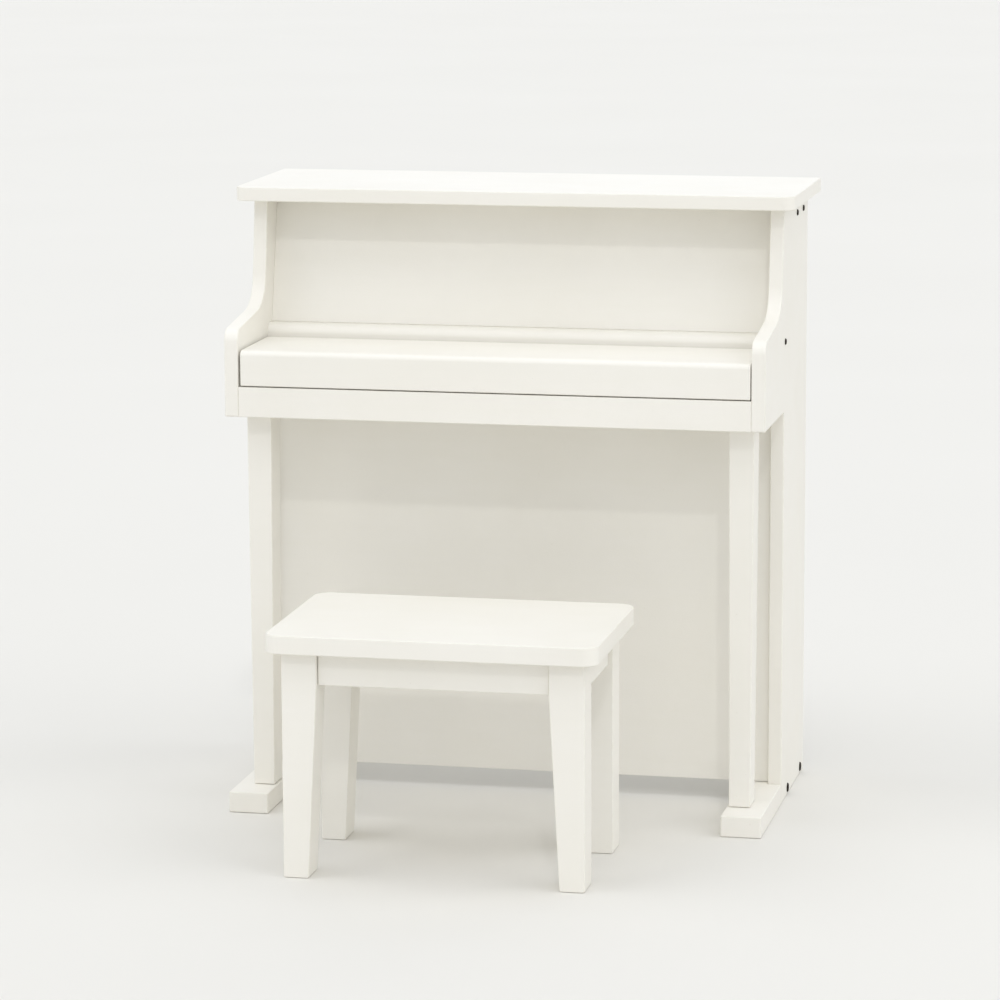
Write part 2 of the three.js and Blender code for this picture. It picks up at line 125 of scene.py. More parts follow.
class Surface:
    """A Principled material with short ways to add the nodes that drive it."""

    def __init__(self, name):
        self.material = bpy.data.materials.new(name)
        self.material.use_nodes = True
        self.tree = self.material.node_tree
        self.shader = self.tree.nodes["Principled BSDF"]
        self.object_place = self.tree.nodes.new("ShaderNodeTexCoord").outputs["Object"]

    def put(self, socket, value):
        """Links value to the socket if it is another node's output, or else sets it."""
        if isinstance(value, bpy.types.NodeSocket):
            self.tree.links.new(value, socket)
        else:
            socket.default_value = value

    def stretched(self, scale):
        """The piece's own place, in metres, times a scale for each axis."""
        node = self.tree.nodes.new("ShaderNodeMapping")
        self.put(node.inputs["Vector"], self.object_place)
        node.inputs["Scale"].default_value = scale
        return node.outputs["Vector"]

    def noise(self, scale, detail=3.0, roughness=0.5, place=None, distortion=0.0):
        node = self.tree.nodes.new("ShaderNodeTexNoise")
        self.put(node.inputs["Vector"], self.object_place if place is None else place)
        node.inputs["Scale"].default_value = scale
        node.inputs["Detail"].default_value = detail
        node.inputs["Roughness"].default_value = roughness
        node.inputs["Distortion"].default_value = distortion
        return node.outputs["Fac"]

    def attribute(self, name):
        node = self.tree.nodes.new("ShaderNodeAttribute")
        node.attribute_name = name
        return node.outputs["Fac"]

    def between(self, value, low, high, to_low=0.0, to_high=1.0):
        """Carries low..high over to to_low..to_high, and stays between those."""
        node = self.tree.nodes.new("ShaderNodeMapRange")
        node.clamp = True
        self.put(node.inputs["Value"], value)
        ends = {"From Min": low, "From Max": high, "To Min": to_low, "To Max": to_high}
        for socket, number in ends.items():
            node.inputs[socket].default_value = number
        return node.outputs["Result"]

    def maths(self, operation, a, b):
        node = self.tree.nodes.new("ShaderNodeMath")
        node.operation = operation
        self.put(node.inputs[0], a)
        self.put(node.inputs[1], b)
        return node.outputs["Value"]

    def mix(self, share, a, b):
        node = self.tree.nodes.new("ShaderNodeMix")
        node.data_type = "RGBA"
        self.put(node.inputs["Factor"], share)
        self.put(node.inputs["A"], a)
        self.put(node.inputs["B"], b)
        return node.outputs["Result"]

    def bump(self, height, distance, under=None):
        node = self.tree.nodes.new("ShaderNodeBump")
        node.inputs["Distance"].default_value = distance
        self.put(node.inputs["Height"], height)
        if under is not None:
            self.put(node.inputs["Normal"], under)
        return node.outputs["Normal"]

    def finish(self, colour, roughness, normal=None, **numbers):
        self.put(self.shader.inputs["Base Color"], colour)
        self.put(self.shader.inputs["Roughness"], roughness)
        if normal is not None:
            self.put(self.shader.inputs["Normal"], normal)
        for socket, number in numbers.items():
            self.shader.inputs[socket.replace("_", " ")].default_value = number
        return self.material


def rgb(red, green, blue):
    return (red, green, blue, 1.0)


# ---------------------------------------------------------------- materials

PAINT_TONES = {
    "creamy": rgb(0.868, 0.844, 0.778),
    "bright": rgb(0.892, 0.870, 0.811),
    "stroke": rgb(0.856, 0.835, 0.755),
    "speck": rgb(0.70, 0.67, 0.58),
    "rubbed": rgb(0.76, 0.72, 0.60),
}
PAINT_RELIEF = {"peel": 0.05 * MM, "stroke": 0.05 * MM, "fibre": 0.09 * MM}
WOOD_TONES = {
    "early": rgb(0.66, 0.47, 0.27),
    "late": rgb(0.78, 0.62, 0.41),
    "fibre": rgb(0.47, 0.30, 0.15),
    "handled": rgb(0.52, 0.36, 0.2),
}
WOOD_RELIEF = 0.12 * MM
PLASTIC_SCRATCH = 0.006 * MM
FELT_TONES = {
    "shade": rgb(0.20, 0.018, 0.018),
    "nap": rgb(0.46, 0.055, 0.05),
    "matted": rgb(0.30, 0.03, 0.03),
}
FELT_NAP = 0.4 * MM


def white_paint():
    """Satin paint sprayed on board: faint clouding, a fine orange peel, and thin paint on edges."""
    s = Surface("white_paint")
    clouds = s.between(s.noise(7, detail=4), 0.35, 0.65)
    tone = s.mix(clouds, PAINT_TONES["creamy"], PAINT_TONES["bright"])
    strokes = s.noise(60, detail=5, place=s.stretched((0.25, 1.0, 2.2)))
    tone = s.mix(s.between(strokes, 0.3, 0.8, 0.0, 0.28), tone, PAINT_TONES["stroke"])
    specks = s.between(s.noise(520, detail=2), 0.74, 0.80, 0.0, 0.35)
    tone = s.mix(specks, tone, PAINT_TONES["speck"])
    patches = s.between(s.noise(95, detail=6, roughness=0.7), 0.42, 0.62)
    thin = s.maths("MULTIPLY", s.attribute("wear"), patches)
    tone = s.mix(s.maths("MULTIPLY", thin, 0.35), tone, PAINT_TONES["rubbed"])
    gloss = s.between(s.noise(34, detail=4), 0.3, 0.7, 0.40, 0.52)
    gloss = s.maths("ADD", gloss, s.maths("MULTIPLY", thin, 0.12))
    peel = s.bump(s.noise(850, detail=2, roughness=0.4), PAINT_RELIEF["peel"])
    brushed = s.bump(strokes, PAINT_RELIEF["stroke"], under=peel)
    fibre = s.maths("MULTIPLY", s.noise(1500, detail=4), s.attribute("board_side"))
    return s.finish(tone, gloss, s.bump(fibre, PAINT_RELIEF["fibre"], under=brushed))


def bare_wood(name, scale):
    """Planed softwood, with its grain along the axis whose scale is smallest."""
    s = Surface(name)
    place = s.stretched(scale)
    rings = s.noise(90, detail=3, place=place, distortion=0.8)
    tone = s.mix(s.between(rings, 0.35, 0.62), WOOD_TONES["early"], WOOD_TONES["late"])
    fibres = s.noise(700, detail=5, roughness=0.65, place=place)
    tone = s.mix(s.between(fibres, 0.45, 0.75, 0.0, 0.45), tone, WOOD_TONES["fibre"])
    handled = s.maths("MULTIPLY", s.attribute("wear"), 0.35)
    tone = s.mix(handled, tone, WOOD_TONES["handled"])
    gloss = s.between(fibres, 0.3, 0.7, 0.6, 0.78)
    return s.finish(tone, gloss, s.bump(fibres, WOOD_RELIEF))


def moulded_plastic(name, light, dark, gloss_low, gloss_high):
    """Glossy moulded caps with faint flow marks and fine handling scratches."""
    s = Surface(name)
    flow = s.noise(45, detail=4, distortion=1.5)
    tone = s.mix(s.between(flow, 0.35, 0.65), dark, light)
    scratches = s.noise(900, detail=2, place=s.stretched((1.0, 0.06, 1.0)))
    marks = s.maths("MULTIPLY", s.between(scratches, 0.62, 0.8), 0.05)
    gloss = s.maths("ADD", s.between(flow, 0.3, 0.7, gloss_low, gloss_high), marks)
    rubbed = s.maths("MULTIPLY", s.attribute("wear"), 0.06)
    normal = s.bump(scratches, PLASTIC_SCRATCH)
    return s.finish(tone, s.maths("ADD", gloss, rubbed), normal)


def felt():
    """Pressed red wool, with a matted nap."""
    s = Surface("felt")
    nap = s.noise(1400, detail=6, roughness=0.75, distortion=1.2)
    matting = s.noise(180, detail=4)
    tone = s.mix(s.between(nap, 0.35, 0.7), FELT_TONES["shade"], FELT_TONES["nap"])
    tone = s.mix(s.between(matting, 0.4, 0.75, 0.0, 0.4), tone, FELT_TONES["matted"])
    normal = s.bump(nap, FELT_NAP)
    return s.finish(tone, s.between(matting, 0.3, 0.7, 0.85, 0.98), normal, Sheen_Weight=0.4)


def metal(name, light, dark, gloss, grain, relief):
    """A metal whose tone, gloss and fine relief follow one grain."""
    s = Surface(name)
    texture = s.noise(600, detail=5, roughness=0.6, place=s.stretched(grain))
    tone = s.mix(s.between(texture, 0.35, 0.7), dark, light)
    worn = s.maths("MULTIPLY", s.attribute("wear"), 0.5)
    tone = s.mix(worn, tone, light)
    roughness = s.between(texture, 0.3, 0.7, gloss - 0.08, gloss + 0.1)
    return s.finish(tone, roughness, s.bump(texture, relief), Metallic=1.0)


# How finely a grain repeats along each axis.
ALONG_X, ALONG_Y = (0.05, 1.0, 1.0), (1.0, 0.05, 1.0)
EVEN, COARSE = (1.0, 1.0, 1.0), (0.4, 0.4, 0.4)

PAINT = white_paint()
WOOD_ALONG_X = bare_wood("bare_wood_rail", ALONG_X)
WOOD_ALONG_Y = bare_wood("bare_wood_stick", ALONG_Y)
WHITE_PLASTIC = moulded_plastic(
    "white_plastic", rgb(0.86, 0.84, 0.77), rgb(0.81, 0.79, 0.71), 0.16, 0.26
)
BLACK_PLASTIC = moulded_plastic(
    "black_plastic", rgb(0.018, 0.018, 0.02), rgb(0.009, 0.009, 0.01), 0.2, 0.32
)
FELT = felt()
STEEL = metal("steel", rgb(0.62, 0.62, 0.63), rgb(0.45, 0.45, 0.47), 0.3, ALONG_X, 0.02 * MM)
ROD_STEEL = metal("rod_steel", rgb(0.6, 0.6, 0.61), rgb(0.42, 0.42, 0.44), 0.28, ALONG_Y, 0.02 * MM)
DARK_STEEL = metal(
    "dark_steel", rgb(0.045, 0.033, 0.026), rgb(0.012, 0.009, 0.007), 0.5, EVEN, 0.03 * MM
)
CAST_IRON = metal("cast_iron", rgb(0.2, 0.2, 0.21), rgb(0.08, 0.08, 0.085), 0.62, COARSE, 0.25 * MM)

MATERIAL_OF_SLOT = {"white_paint": PAINT, "bare_wood": WOOD_ALONG_X, "felt": FELT}  # of boards

# ---------------------------------------------------------------- outlines of CAD nodes


def across(axis):
    """The two axes of the plane that an axis looks at, in right-handed order."""
    return (axis + 1) % 3, (axis + 2) % 3


def in_space(axis, level, point):
    """The place at a level of an axis, from a point of the plane that the axis looks at."""
    place = Vector((0.0, 0.0, 0.0))
    u, v = across(axis)
    place[axis], place[u], place[v] = level, point[0], point[1]
    return place


def node_points(node):
    return [vert.co for vert in frame["nodes"][node].data.vertices]


def welded(node):
    """A copy of the CAD node's mesh whose faces share their points."""
    mesh = bmesh.new()
    mesh.from_mesh(frame["nodes"][node].data)
    bmesh.ops.remove_doubles(mesh, verts=mesh.verts, dist=WELD)
    return mesh


def ring_length(ring):
    return sum((b - a).length for a, b in zip(ring, ring[1:] + ring[:1]))


def turn_at(before, here, after):
    """How far a ring turns at a point, positive to the left."""
    return (here - before).angle_signed(after - here, 0.0) * -1


def without_straight_points(ring):
    kept = []
    for i, here in enumerate(ring):
        if abs(turn_at(ring[i - 1], here, ring[(i + 1) % len(ring)])) > STRAIGHT_TURN:
            kept.append(here)
    return kept


def face_rings(node, axis, side):
    """The rims of a node's outermost flat face on one side: its outline first, then its holes.
    All run anticlockwise round the axis, as points of the plane that the axis looks at."""
    mesh = welded(node)
    low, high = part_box(node)
    level = (high if side > 0 else low)[axis]
    on_face = [f for f in mesh.faces if all(abs(v.co[axis] - level) < WELD for v in f.verts)]
    following = {}
    for face in on_face:
        for corner in face.loops:
            if any(f not in on_face for f in corner.edge.link_faces):
                following[corner.vert] = corner.link_loop_next.vert
    rings = []
    u, v = across(axis)
    while following:
        start, here = following.popitem()
        ring = [start]
        while here is not start:
            ring.append(here)
            here = following.pop(here)
        rings.append([Vector((vert.co[u], vert.co[v])) for vert in ring])
    mesh.free()
    rings.sort(key=ring_length, reverse=True)
    if side < 0:
        rings = [ring[::-1] for ring in rings]
    return [without_straight_points(ring) for ring in rings]


def drawn_as_curves(ring):
    """The ring with the short straight steps of its arcs drawn as smooth (Hermite) curves."""
    count = len(ring)
    steps = [ring[(i + 1) % count] - ring[i] for i in range(count)]

    def direction_at(i, own):
        arriving, leaving = steps[i - 1], steps[i % count]
        if abs(turn_at(ring[i - 1], ring[i % count], ring[(i + 1) % count])) > SHARPEST_ARC_TURN:
            return steps[own].normalized()
        for straight in (arriving, leaving):
            if straight.length > LONGEST_ARC_STEP:
                return straight.normalized()
        return (arriving.normalized() + leaving.normalized()).normalized()

    points = []
    for i in range(count):
        start, end, reach = ring[i], ring[(i + 1) % count], steps[i].length
        points.append(start)
        if reach > LONGEST_ARC_STEP:
            continue
        leave, arrive = direction_at(i, i) * reach, direction_at((i + 1) % count, i) * reach
        for k in range(1, ARC_STEPS):
            t = k / ARC_STEPS
            points.append(
                start * (2 * t**3 - 3 * t**2 + 1)
                + leave * (t**3 - 2 * t**2 + t)
                + end * (3 * t**2 - 2 * t**3)
                + arrive * (t**3 - t**2)
            )
    return points


def with_eased_corners(ring, radius):
    """(point, wear) pairs: each sharp corner becomes a small arc, worn most in its middle."""
    count = len(ring)
    eased = []
    for i, corner in enumerate(ring):
        before, after = ring[i - 1], ring[(i + 1) % count]
        turn = turn_at(before, corner, after)
        if abs(turn) < SHARPEST_ARC_TURN:
            eased.append((corner, 0.0))
            continue
        half = math.tan(abs(turn) / 2)
        longest = CORNER_REACH * min((corner - before).length, (after - corner).length)
        cut = min(radius * half, longest)
        start = corner + (before - corner).normalized() * cut
        forward = (corner - before).normalized()
        inward = Vector((-forward.y, forward.x)) * math.copysign(1.0, turn)
        centre = start + inward * (cut / half)
        for k in range(ROUND_STEPS + 1):
            spoke = Matrix.Rotation(turn * k / ROUND_STEPS, 2) @ (start - centre)
            eased.append((centre + spoke, math.sin(math.pi * k / ROUND_STEPS)))
    return eased


def drawn_in(ring, distance):
    """The ring with every side moved inwards."""
    count = len(ring)
    moved = []
    for i, here in enumerate(ring):
        arriving = (here - ring[i - 1]).normalized()
        leaving = (ring[(i + 1) % count] - here).normalized()
        normals = Vector((-arriving.y, arriving.x)), Vector((-leaving.y, leaving.x))
        moved.append(here + (normals[0] + normals[1]) * (distance / (1 + normals[0].dot(normals[1]))))
    return moved


def circle(centre, radius):
    turns = [2 * math.pi * i / CIRCLE_SIDES for i in range(CIRCLE_SIDES)]
    return [centre + radius * Vector((math.cos(a), math.sin(a))) for a in turns]


# ---------------------------------------------------------------- building pieces


class Piece:
    """A mesh under construction, with the two masks that the materials read: wear on its edges,
    and board_side round the cut sides of a board."""

    def __init__(self):
        self.mesh = bmesh.new()
        self.wear = self.mesh.verts.layers.float.new("wear")
        self.board_side = self.mesh.verts.layers.float.new("board_side")

    def ring(self, places, wear=None, board_side=0.0):
        verts = [self.mesh.verts.new(place) for place in places]
        for i, vert in enumerate(verts):
            vert[self.wear] = wear[i] if wear else 0.0
            vert[self.board_side] = board_side
        return verts

    def skin(self, rings, material=0):
        """Quads between each ring and the next."""
        for lower, upper in zip(rings, rings[1:]):
            for i in range(len(lower)):
                j = (i + 1) % len(lower)
                self.mesh.faces.new((lower[i], lower[j], upper[j], upper[i])).material_index = material

    def cap(self, ring, holes=(), material=0):
        """A flat face inside a ring, open at the holes."""
        if not holes:
            self.mesh.faces.new(ring).material_index = material
            return
        edges = [self.mesh.edges.get((a, b)) or self.mesh.edges.new((a, b))
                 for rim in (ring, *holes) for a, b in zip(rim, rim[1:] + rim[:1])]
        filled = bmesh.ops.triangle_fill(self.mesh, edges=edges, use_beauty=True)
        for element in filled["geom"]:
            if isinstance(element, bmesh.types.BMFace):
                element.material_index = material

    def finish(self, name, body, materials, slot, stands_for=()):
        """Ends the construction: the mesh becomes an object that rides on a body."""
        bmesh.ops.recalc_face_normals(self.mesh, faces=self.mesh.faces)
        for face in self.mesh.faces:
            face.smooth = True
        data = bpy.data.meshes.new(name)
        self.mesh.to_mesh(data)
        self.mesh.free()
        for material in materials:
            data.materials.append(material)
        made = bpy.data.objects.new(name, data)
        bpy.context.scene.collection.objects.link(made)
        normals = made.modifiers.new("flat_faces", "WEIGHTED_NORMAL")
        normals.weight = FLAT_FACE_WEIGHT
        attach(made, body)
        if stands_for:
            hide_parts(*stands_for)


def rounding_steps(radius):
    """(inset, depth, wear) of each step round an edge, from the face to the side."""
    turns = [math.pi / 2 * k / ROUND_STEPS for k in range(ROUND_STEPS + 1)]
    return [(radius * (1 - math.sin(a)), radius * (1 - math.cos(a)), math.sin(2 * a)) for a in turns]


def add_rounded_prism(piece, outline, axis, low, high, radius, holes=((), ()), material=0):
    """A board between two levels of an axis. holes holds, for the low and the high face, the
    rims of what opens there."""
    eased = with_eased_corners(outline, radius * CORNER_SHARE)
    ring = [point for point, _ in eased]
    corner_wear = [wear for _, wear in eased]
    rings = []
    for step, (inset, depth, edge_wear) in enumerate(rounding_steps(radius)):
        wear = [max(w, edge_wear) for w in corner_wear] if step else None
        inner = drawn_in(ring, inset)
        side = 0.0 if step == 0 else 1.0
        rings.append((low + depth, inner, wear, side))
        rings.append((high - depth, inner, wear, side))
    rings.sort(key=lambda ring: ring[0])
    made = [piece.ring([in_space(axis, level, p) for p in points], wear, side)
            for level, points, wear, side in rings]
    piece.skin(made, material)
    piece.cap(made[0], holes[0], material)
    piece.cap(made[-1], holes[1], material)


def add_recess(piece, centre, radius, axis, level, depth, side):
    """A round blind hole with a small chamfer. Returns the rim that the board's face meets."""
    steps = [(radius + HOLE_LIP, 0.0), (radius, HOLE_LIP), (radius, depth)]
    rings = [piece.ring([in_space(axis, level - side * down, p) for p in circle(centre, r)],
                        [1.0 if down == HOLE_LIP else 0.0] * CIRCLE_SIDES)
             for r, down in steps]
    piece.skin(rings)
    piece.cap(rings[-1])
    return rings[0]


def hole_depth(node, axis, level, ring):
    """How deep the CAD node's hole goes, from the nearest points that lie behind its rim."""
    u, v = across(axis)
    behind = [abs(co[axis] - level) for co in node_points(node)
              for p in ring if (Vector((co[u], co[v])) - p).length < WELD]
    return min(depth for depth in behind if depth > WELD)


def recesses_of(node, axis, side):
    """(centre, radius, depth, side) of each round hole in one face of a CAD node."""
    low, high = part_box(node)
    level = (high if side > 0 else low)[axis]
    found = []
    for ring in face_rings(node, axis, side)[1:]:
        centre = sum(ring, Vector((0.0, 0.0))) / len(ring)
        radius = (ring[0] - centre).length
        found.append((centre, radius, hole_depth(node, axis, level, ring), side))
    return found


def close_seams(piece, seams):
    """Moves a board's ends out to its neighbours. seams holds (axis, side) pairs."""
    for axis, side in seams:
        end = max(side * vert.co[axis] for vert in piece.mesh.verts)
        for vert in piece.mesh.verts:
            if side * vert.co[axis] > end - 2 * BOARD_EDGE:
                vert.co[axis] += side * SEAM


def board(node, axis, radius=BOARD_EDGE, seams=(), extra_recesses=(), outline=None, joined_to=()):
    """A board with the CAD node's outline and holes, and with its edges rounded. Where it stands
    for more nodes than one, they are joined_to it and the outline is theirs together."""
    low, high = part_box(node)
    ring = outline or face_rings(node, axis, 1)[0]
    piece = Piece()
    rims = {-1: [], 1: []}
    recesses = [*recesses_of(node, axis, -1), *recesses_of(node, axis, 1), *extra_recesses]
    for centre, hole_radius, depth, side in recesses:
        level = (high if side > 0 else low)[axis]
        rims[side].append(add_recess(piece, centre, hole_radius, axis, level, depth, side))
    ends = low[axis], high[axis]
    add_rounded_prism(piece, drawn_as_curves(ring), axis, *ends, radius, (rims[-1], rims[1]))
    close_seams(piece, seams)
    slot = SLOT_OF[node]
    material = MATERIAL_OF_SLOT[slot]
    piece.finish(node + "_made", BODY_OF[node], [material], slot, [node, *joined_to])


def softened_post(node):
    """A post that tapers on all sides: the CAD node's own faces with their edges rounded."""
    piece = Piece()
    piece.mesh.from_mesh(frame["nodes"][node].data)
    bmesh.ops.remove_doubles(piece.mesh, verts=piece.mesh.verts, dist=WELD)
    bmesh.ops.dissolve_limit(
        piece.mesh, angle_limit=STRAIGHT_TURN, verts=piece.mesh.verts, edges=piece.mesh.edges
    )
    rounded = bmesh.ops.bevel(
        piece.mesh, geom=piece.mesh.edges[:], offset=BOARD_EDGE, segments=ROUND_STEPS,
        profile=ROUND_PROFILE, affect="EDGES", clamp_overlap=True,
    )
    edge_faces = set(rounded["faces"])
    for vert in piece.mesh.verts:
        vert[piece.wear] = 1.0 if all(f in edge_faces for f in vert.link_faces) else 0.0
    piece.finish(node + "_made", BODY_OF[node], [PAINT], SLOT_OF[node], [node])


# ---------------------------------------------------------------- screws, pins and rods


def cross_outline(centre, radius):
    """A plus-shaped ring of twelve points, anticlockwise."""
    reach, arm = CROSS["reach"] * radius, CROSS["arm"] * radius
    quarter = [Vector((reach, -arm)), Vector((reach, arm)), Vector((arm, arm))]
    turned = [Matrix.Rotation(math.pi / 2 * k, 2) @ p for k in range(4) for p in quarter]
    return [centre + p for p in turned]


def screw(name, body, axis, side, level, hole, head):
    """A cross-head screw in a round hole, its head domed or flush. hole holds the hole's centre,
    radius and depth."""
    centre, hole_radius, depth = hole
    radius = hole_radius - SCREW["clearance"]
    height = HEAD_HEIGHT[head]
    piece = Piece()

    def at(up, points, wear=0.0):
        places = [in_space(axis, level + side * up, p) for p in points]
        return piece.ring(places, [wear] * len(points))

    rings = [at(SCREW["clearance"] - depth, circle(centre, radius))]
    shoulder = min(0.0, 2 * height)
    for k in range(ROUND_STEPS + 1):
        turn = math.pi / 2 * k / ROUND_STEPS
        reach = SCREW["flat"] + (1 - SCREW["flat"]) * math.cos(turn)
        up = shoulder + (height - shoulder) * math.sin(turn)
        rings.append(at(up, circle(centre, radius * reach), math.sin(2 * turn)))
    piece.skin(rings)
    piece.cap(rings[0])
    mouth_points = cross_outline(centre, radius)
    mouth = at(height, mouth_points, CROSS["wear"])
    floor_points = [centre + (p - centre) * CROSS["floor"] for p in mouth_points]
    floor = at(height - CROSS["depth"], floor_points)
    piece.skin([mouth, floor])
    piece.cap(floor)
    piece.cap(rings[-1], [mouth])
    piece.finish(name, body, [DARK_STEEL], "steel")


def side_panel_screws(node):
    """A screw in each recess of a side panel's outer face, numbered from the lowest."""
    side = 1 if node.startswith("right") else -1
    low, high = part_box(node)
    level = (high if side > 0 else low)[X]
    holes = [hole[:3] for hole in recesses_of(node, X, side)]
    holes.sort(key=lambda hole: (round(hole[0].y, 3), hole[0].x))
    for number, hole in enumerate(holes, 1):
        screw(f"{node}_screw_{number}", BODY_OF[node], X, side, level, hole, "domed")


def back_panel_screw_places():
    """Evenly spaced round the edge of the back panel, as points of the plane that Y looks at."""
    low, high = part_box("back_panel")
    inset = BACK_SCREW["inset"]
    x0, x1, z0, z1 = low.x + inset, high.x - inset, low.z + inset, high.z - inset
    columns = [x0 + (x1 - x0) * i / (BACK_SCREW["columns"] - 1) for i in range(BACK_SCREW["columns"])]
    rows = [z0 + (z1 - z0) * i / (BACK_SCREW["rows"] - 1) for i in range(BACK_SCREW["rows"])]
    ends = [(x, z) for z in (z0, z1) for x in columns]
    sides = [(x, z) for x in (x0, x1) for z in rows[1:-1]]
    return [Vector((z, x)) for x, z in ends + sides]


def back_panel():
    _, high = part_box("back_panel")
    places = back_panel_screw_places()
    radius, depth = BACK_SCREW["radius"], BACK_SCREW["depth"]
    recesses = [(place, radius, depth, 1) for place in places]
    board("back_panel", Y, FITTED_EDGE, [*BOTH_ENDS, (Z, 1)], recesses)
    for number, place in enumerate(places, 1):
        hole = place, radius, depth
        screw(f"back_panel_screw_{number}", BODY_OF["back_panel"], Y, 1, high.y, hole, "flush")


def add_round_bar(piece, axis, centre, radius, low, high, tip, material=0):
    """A round bar with a chamfer of tip at both ends."""
    levels = [(low, radius - tip), (low + tip, radius), (high - tip, radius), (high, radius - tip)]
    rings = [piece.ring([in_space(axis, level, p) for p in circle(centre, r)]) for level, r in levels]
    piece.skin(rings, material)
    piece.cap(rings[0], material=material)
    piece.cap(rings[-1], material=material)


def lid_pin(node):
    low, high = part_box(node)
    piece = Piece()
    middle = (low + high) / 2
    add_round_bar(piece, X, Vector((middle.y, middle.z)), (high.z - low.z) / 2, low.x, high.x, FINE_EDGE)
    piece.finish(node + "_made", BODY_OF[node], [STEEL], SLOT_OF[node], [node])


def tone_rod_bar():
    """The cast bar along the back, with one steel rod over the striker of each key."""
    node = "tone_rod_bar"
    low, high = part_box(node)
    piece = Piece()
    end = face_rings(node, X, 1)[0]
    add_rounded_prism(piece, end, X, low.x, high.x, CAP_EDGE, material=BAR)
    bar_front = min(p.x for p in end)
    rod_points = [co for co in node_points(node) if co.y < bar_front - STEP]
    for key in KEYS:
        k0, k1 = lever_sides(key)
        own = [co for co in rod_points if k0 < co.x < k1]
        z0, z1 = min(co.z for co in own), max(co.z for co in own)
        centre = Vector(((z0 + z1) / 2, (k0 + k1) / 2))
        tip = min(co.y for co in own)
        add_round_bar(piece, Y, centre, (z1 - z0) / 2, tip, bar_front + ROD_ROOT, FINE_EDGE, ROD)
    piece.finish(node + "_made", BODY_OF[node], [CAST_IRON, ROD_STEEL], SLOT_OF[node], [node])


# ---------------------------------------------------------------- keys


def lever_sides(node):
    """Where a key's lever lies across the piano, from the points at its tail."""
    tail = max(co.y for co in node_points(node))
    xs = [co.x for co in node_points(node) if co.y > tail - STEP]
    return min(xs), max(xs)


def key_levels(node):
    """Bottom and top of a key's lever, and front, back and top of its striker."""
    points = node_points(node)
    tail = max(co.y for co in points)
    bottom = min(co.z for co in points)
    lever_top = max(co.z for co in points if co.y > tail - STEP)
    at_tail = [co for co in points if co.y > tail - TAIL_LENGTH]
    striker = [co.y for co in at_tail if co.z > lever_top + STEP]
    return bottom, lever_top, min(striker), max(striker), max(co.z for co in at_tail)


def without_repeats(ring):
    return [p for i, p in enumerate(ring) if (p - ring[i - 1]).length > WELD]


def rectangle(x0, x1, y0, y1):
    return [Vector(p) for p in ((x0, y0), (x1, y0), (x1, y1), (x0, y1))]


def add_striker(piece, node, sides):
    """A wooden post on the key's tail, with a felt head."""
    _, lever_top, front, back, top = key_levels(node)
    post = rectangle(sides[0] + FINE_EDGE, sides[1] - FINE_EDGE, front, back)
    felt_base = top - STRIKER_FELT["height"]
    add_rounded_prism(piece, post, Z, lever_top, felt_base, FINE_EDGE / 2, material=WOOD)
    add_rounded_prism(piece, post, Z, felt_base, top, STRIKER_FELT["rounding"], material=HAMMER)


def white_key(node):
    """A flat cap, wide in front and narrow between the black keys, on a wooden stick."""
    low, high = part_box(node)
    bottom, lever_top, *_ = key_levels(node)
    x0, x1 = lever_sides(node)
    head_back = min(co.y for co in node_points(node) if co.y > low.y + STEP)
    plan = [(low.x, low.y), (high.x, low.y), (high.x, head_back), (x1, head_back),
            (x1, high.y), (x0, high.y), (x0, head_back), (low.x, head_back)]
    ring = without_straight_points(without_repeats([Vector(p) for p in plan]))
    piece = Piece()
    add_rounded_prism(piece, ring, Z, lever_top - KEY_CAP, lever_top, CAP_EDGE, material=CAP)
    stick = drawn_in(ring, STICK_INSET)
    add_rounded_prism(piece, stick, Z, bottom, lever_top - KEY_CAP, FINE_EDGE / 2, material=WOOD)
    add_striker(piece, node, (x0, x1))
    materials = [WHITE_PLASTIC, WOOD_ALONG_Y, FELT]
    piece.finish(node + "_made", BODY_OF[node], materials, SLOT_OF[node], [node])


def black_cap(piece, sides, front_low, lever_top, crown):
    """A tall cap whose sides and front draw in as it rises. crown holds the CAD crown's points."""
    top = max(co.z for co in crown)
    front_high = min(co.y for co in crown)
    back = max(co.y for co in crown)
    foot = [(lever_top - KEY_CAP, 0.0), (lever_top, BLACK_FOOT_SHARE)]
    rings = []
    for level, share in foot + [(top - depth, share) for depth, share in BLACK_CROWN]:
        lift = max(0.0, (level - lever_top) / (top - lever_top))
        nose = max(0.0, share - BLACK_NOSE["from"]) * BLACK_NOSE["reach"]
        front = front_low + (front_high - front_low) * lift + nose
        side = BLACK_TAPER * share
        ring = rectangle(sides[0] + side, sides[1] - side, front, back - side * BLACK_BACK_TAPER)
        eased = with_eased_corners(ring, CAP_EDGE * CORNER_SHARE)
        rings.append(piece.ring([in_space(Z, level, p) for p, _ in eased], [w for _, w in eased]))
    piece.skin(rings, CAP)
    piece.cap(rings[0], material=CAP)
    piece.cap(rings[-1], material=CAP)


